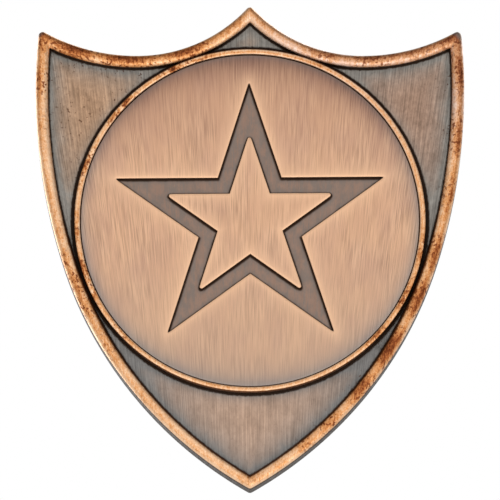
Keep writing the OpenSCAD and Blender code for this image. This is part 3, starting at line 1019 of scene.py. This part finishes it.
def antique_copper():
    """The cast shield: sunk field, raised edges, wall and back, each with its own tarnish."""
    g = copper_graph("antique_copper_cast")
    g.lean, g.outer, g.stain = g.layer("lean"), g.layer("outer"), g.layer("stain")
    g.off_rim, g.off_ring = g.layer("off_rim"), g.layer("off_ring")
    g.fine = g.noise(15, 1, 0.7, 1.5, 0.5)
    g.blot = g.noise(0.9, 0.9, 0.7, 4, 0.6)
    g.mottle = g.noise(4, 4, 2.6, 4, 0.68, 0.4)
    g.grit = g.noise(9, 9, 7, 3, 0.7)
    g.dust = g.noise(4.5, 4.5, 4, 1, 0.5)
    broad = g.noise(3, 1, 0.16, 2)
    streak = g.add(g.times(g.fine, 0.8), g.times(broad, 0.2))

    squared = g.add(g.times(g.x, g.x), g.times(g.z, g.z))
    on_ring = g.math("LESS_THAN", squared, (RING_R + 0.01) ** 2)
    worn_and_lit = wear(g, on_ring)
    lift = g.times(g.ramp(g.lean, -1, -0.6, 1, 0), g.ramp(g.z, -15, -5, -0.03, 0.32))
    raised = g.ramp(g.add(g.height, lift), FLANK_LOW, FLANK_HIGH)
    colour = g.mix(raised, BLACK, raised_edge(g, worn_and_lit, on_ring))
    side = g.ramp(g.lean, -1.2, -0.985, 1, 0)
    wall_top = g.ramp(g.add(g.height, g.around(g.blot, 1.6)), 0.6, 1.7)
    colour = g.mix(side, colour, g.mix(wall_top, WALL_LOW, WALL_HIGH))
    in_field = g.times(g.ramp(g.height, 1.27, 1.38, 1, 0), g.ramp(g.lean, 1.4, 1.48))
    crevice = crevices(g)
    # The field, with black patina and the ring's painted shadow at the feet of the rim and the ring
    colour = g.mix(in_field, colour, g.mix(crevice, brushed_field(g), BLACK))
    behind = g.ramp(g.height, 0.02, 0.12, 1, 0)
    colour = g.mix(behind, colour, cast_back(g, streak))

    # Thick patina isn't metallic: it lies in the crevices, where the ring's painted shadow joins it, on the
    # flanks and low on the wall
    bare = g.math("MAXIMUM", g.times(raised, g.less(1, side)), behind)
    bare = g.math("MAXIMUM", bare, g.times(side, wall_top, 0.5))
    metallic = g.math("MAXIMUM", bare, g.times(in_field, g.less(1, crevice)))
    g.shader.inputs["Specular IOR Level"].default_value = PATINA_GLOSS
    rough = g.add(g.ramp(g.fine, 0.3, 0.7, 0.36, 0.5), g.ramp(worn_and_lit, 0.4, 0.9, 0, 0.12))
    rough = g.add(rough, g.times(in_field, 0.06))
    pits = g.times(g.add(g.mottle, g.times(g.grit, 0.4)), -1)
    return g.finish(colour, rough, metallic, g.bump(pits, 0.01, g.bump(streak, 0.006)))


def disc_face(g, streak, cloud):
    """The disc's brushed face, paler towards the bottom and browner towards the top, and rubbed brighter
    beside the band's edges, where a painted highlight lies as well.
    """
    face = g.mix(g.ramp(streak, 0.3, 0.68), DISC_DARK, DISC_LIGHT)
    face = g.mix(g.ramp(g.noise(0.7, 1, 0.35, 3), 0.4, 0.62, 0, 0.4), face, DISC_WARM)
    face = g.mix(g.ramp(cloud, 0.35, 0.65, 0, 0.22), face, PEACH)
    face = g.mix(g.ramp(g.z, -11, 1, 0.4, 0), face, DISC_BELOW)
    face = g.mix(g.ramp(g.z, 3, 9, 0, 0.35), face, DISC_ABOVE)
    # Rubbed copper and a painted highlight beside the band's edges
    rubbed_and_lit = g.times(g.fade(g.star, 0.42, 0.08), g.ramp(g.star, -0.02, 0.06, 0, 0.72))
    return g.mix(rubbed_and_lit, face, DISC_RUBBED_LIT)


def shaded_face(g, face, cloud):
    """Painted shade on the face towards the ring: furthest at the top, where it is brown, and grey below,
    with grey painted shade right at the edge; the face is also a little darker towards the bottom.
    """
    up = g.math("DIVIDE", g.z, DISC_R)
    reach = g.add(0.42, g.times(up, up, 0.78), g.times(up, 0.2))
    wander = g.add(g.around(cloud, 0.6), g.around(g.fine, 0.5))
    away = g.add(g.edge, g.times(wander, g.ramp(up, 0, 0.9, 0.25, 1)))
    # Painted shade fading in from the ring, reaching furthest at the top
    shade = g.times(g.fade(away, reach), g.ramp(up, 0.3, 0.9, 0.58, 0.8))
    shade_tint = g.mix(g.ramp(up, -0.1, 0.8), SHADE_TINT_BELOW, SHADE_TINT_ABOVE)
    face = g.mix(shade, face, shade_tint, "MULTIPLY")
    face = g.dim(face, g.ramp(g.z, -10, -2, 0.95, 0.985))
    # Grey painted shade at the very edge of the face, next to the ring
    return g.mix(g.times(g.fade(g.edge, 0.25), g.ramp(up, 0, 0.9, 0.2, 0.6)), face, DISC_EDGE_SHADE)


def band_floor(g):
    """The band's floor, and the distance in from the band's upper edges, where the patina is thick."""
    mottle = g.noise(2.2, 1, 1.2, 4, 0.6)
    floor = g.mix(g.ramp(g.add(mottle, g.around(g.fine, 0.7)), 0.3, 0.7), BAND_COOL, BAND_WARM)
    inside = g.times(g.layer("below"), -1)
    floor = g.mix(g.ramp(inside, 0.12, 0.45, 0.45, 0), floor, BAND_SHADE)
    deep = g.add(inside, g.around(mottle, 0.08))
    return g.mix(g.ramp(deep, 0.03, 0.2, 1, 0), floor, BAND_LINE), deep


def brushed_copper():
    """The star disc: upright brush lines on the face, and a darker floor in the star's band."""
    g = copper_graph("brushed_copper_disc")
    g.star, g.edge = g.layer("star"), g.layer("edge")
    g.fine = g.noise(17, 1, 0.5, 1.5, 0.5)
    medium = g.noise(4.5, 1, 0.16, 2)
    cloud = g.noise(0.35, 0.35, 0.22, 3)
    streak = g.add(g.times(g.fine, 0.85), g.times(medium, 0.15))
    face = shaded_face(g, disc_face(g, streak, cloud), cloud)
    floor, deep = band_floor(g)
    raised = g.ramp(g.height, DISC_TOP - 0.035, DISC_TOP - 0.002)
    colour = g.mix(raised, floor, face)
    # Painted shade in the seam, on the disc's outermost edge next to the ring
    colour = g.mix(g.ramp(g.edge, 0, 0.045, 0.6, 0), colour, BROWN)
    patina = g.times(g.less(1, raised), g.ramp(deep, 0, 0.17, 1, 0))
    g.shader.inputs["Specular IOR Level"].default_value = PATINA_GLOSS
    rough = g.ramp(g.fine, 0.3, 0.7, 0.36, 0.5)
    return g.finish(colour, rough, g.less(1, patina), g.bump(streak, 0.005))


def nickel(name, tone, rough_low, rough_high, grain):
    """Nickel plate with a grain along the axis whose number in grain is the smallest."""
    g = Graph(name)
    lines = g.noise(*grain, 3, 0.6)
    cloud = g.noise(0.45, 0.45, 0.45, 5, 0.65)
    dull = g.ramp(cloud, 0.38, 0.72)
    colour = g.mix(dull, tone, tuple(c * 0.8 for c in tone))
    colour = g.mix(g.ramp(lines, 0.35, 0.65, 0, 0.22), colour, tuple(c * 0.5 for c in tone))
    colour = g.mix(g.spots(1.6, 0.07, 0.1), colour, PIT)
    rough = g.add(g.ramp(lines, 0.3, 0.7, rough_low, rough_high), g.times(dull, 0.1))
    return g.finish(colour, rough, 1, g.bump(lines, 0.004))


def adhesive_film():
    g = Graph("adhesive_film")
    cloud = g.noise(0.8, 0.8, 0.8, 4, 0.6)
    colour = g.mix(g.ramp(cloud, 0.35, 0.65), GLUE_DARK, GLUE_LIGHT)
    return g.finish(colour, g.ramp(cloud, 0.3, 0.7, 0.35, 0.6), 0, g.bump(cloud, 0.01))


def pale_floor():
    g = Graph("pale_floor")
    cloud = g.noise(0.002, 0.002, 0.002, 3)
    colour = g.mix(g.ramp(cloud, 0.3, 0.7), FLOOR_DARK, FLOOR_LIGHT)
    g.shader.inputs["Emission Color"].default_value = (1, 1, 1, 1)
    g.shader.inputs["Emission Strength"].default_value = FLOOR_GLOW
    return g.finish(colour, 0.8, 0)


# ------- pieces

def dress(obj, material, body, slot, *nodes):
    """Give a piece its material, let it ride on its body and stand for its CAD nodes."""
    obj.data.materials.append(material)
    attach(obj, body)
    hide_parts(*nodes)


dress(make_shield(), antique_copper(), "badge", "antique_copper", "shield_body")
dress(make_disc(), brushed_copper(), "badge", "brushed_copper", "star_disc")
SATIN = nickel("nickel_satin", NICKEL_WARM, 0.26, 0.4, (0.5, 6, 9))
TURNED = nickel("nickel_turned", NICKEL, 0.2, 0.32, (14, 1.5, 1.5))
DRAWN = nickel("pin_drawn", STEEL, 0.14, 0.26, (0.4, 12, 12))
dress(make_bar(), SATIN, "badge", "nickel_fitting", "brooch_bar")
dress(make_rivet(), TURNED, "badge", "nickel_fitting", "hinge_rivet")
dress(make_pin(), DRAWN, "pin", "pin_steel", "pin_stem")
dress(make_housing(), SATIN, "badge", "nickel_fitting", "catch_housing")
dress(make_barrel(), TURNED, "catch", "catch_nickel", "catch_barrel")
# The adhesive film lies hidden in the seat, so it keeps its CAD mesh
FILM = frame["nodes"]["disc_adhesive"].data
FILM.materials.clear()
FILM.materials.append(adhesive_film())


# ------- stage, light and camera

# Metres from here on
FLOOR_Z = -0.6
FLOOR_GLOW = 0.5
SURROUND = 0.85
OVERHEAD = 0.36
DARK_ABOVE = 0.7
CAMERA_TILT = 12.0
CAMERA_FAR = 1.0
SENSOR = 36
VIEW_WIDTH = 0.0369
CAMERA_AIM = (0, -0.0012, -0.00211)


def make_floor():
    """A round floor well below the badge, with a few rings so that it isn't one face."""
    radii, columns = (0.4, 1.0, 2.0, 4.0, 8.0), 64
    points = []
    for r in radii:
        points += [(x, y, FLOOR_Z) for x, y in ring_points(r, steps=columns)]
    points.append((0, 0, FLOOR_Z))
    faces = fan(len(radii) * columns, 0, columns) + loft_faces(len(radii), columns)
    floor = mesh_object("floor", points, faces)
    floor.data.materials.append(pale_floor())


def look(obj, place, aim):
    """Put a light or the camera in its place, turned towards its aim, and add it to the scene."""
    obj.location = place
    obj.rotation_mode = "QUATERNION"
    obj.rotation_quaternion = (Vector(aim) - Vector(place)).to_track_quat("-Z", "Y")
    bpy.context.scene.collection.objects.link(obj)


def softbox(name, place, size, power):
    """A rectangular light that faces the badge and isn't seen itself."""
    light = bpy.data.lights.new(name, "AREA")
    light.shape = "RECTANGLE"
    light.size, light.size_y = size
    light.energy = power
    obj = bpy.data.objects.new(name, light)
    obj.visible_camera = False
    look(obj, place, (0, 0, 0))


def make_world():
    """White to the camera, and for the metal a soft surround that is darker overhead."""
    world = bpy.data.worlds.new("studio")
    bpy.context.scene.world = world
    world.use_nodes = True
    tree = world.node_tree
    tree.nodes.clear()
    split = new_node(tree, "SeparateXYZ", {0: new_node(tree, "TexCoord").outputs["Generated"]})
    falling = enumerate((split.outputs["Z"], 0.0, DARK_ABOVE, SURROUND, OVERHEAD))
    strength = new_node(tree, "MapRange", falling).outputs[0]
    around = new_node(tree, "Background", {"Color": (1, 1, 1), "Strength": strength})
    seen = new_node(tree, "Background", {"Color": (1, 1, 1), "Strength": 1.0})
    to_camera = new_node(tree, "LightPath").outputs["Is Camera Ray"]
    mix = new_node(tree, "MixShader", enumerate((to_camera, around.outputs[0], seen.outputs[0])))
    new_node(tree, "OutputWorld", {0: mix.outputs[0]})


def make_camera():
    """Straight on from 12 degrees below the face's own normal, through a long lens."""
    data = bpy.data.cameras.new("camera")
    data.sensor_width = SENSOR
    data.lens = SENSOR * CAMERA_FAR / VIEW_WIDTH
    data.clip_start, data.clip_end = 0.01, 20
    obj = bpy.data.objects.new("camera", data)
    tilt = radians(CAMERA_TILT)
    away = CAMERA_FAR * Vector((0, -cos(tilt), -sin(tilt)))
    look(obj, Vector(CAMERA_AIM) + away, CAMERA_AIM)
    bpy.context.scene.camera = obj


make_floor()
make_world()
softbox("front", (0.03, -0.7, 0.02), (0.7, 0.55), 0.74)
softbox("key", (-0.2, -0.5, 0.45), (0.4, 0.3), 0.2)
softbox("under", (0.1, -0.5, -0.3), (0.5, 0.25), 0.6)
softbox("back", (0.25, 0.5, 0.35), (0.4, 0.4), 1.5)
softbox("back_low", (-0.35, 0.45, 0.0), (0.3, 0.4), 0.8)
make_camera()
bpy.context.scene.view_settings.view_transform = "Standard"
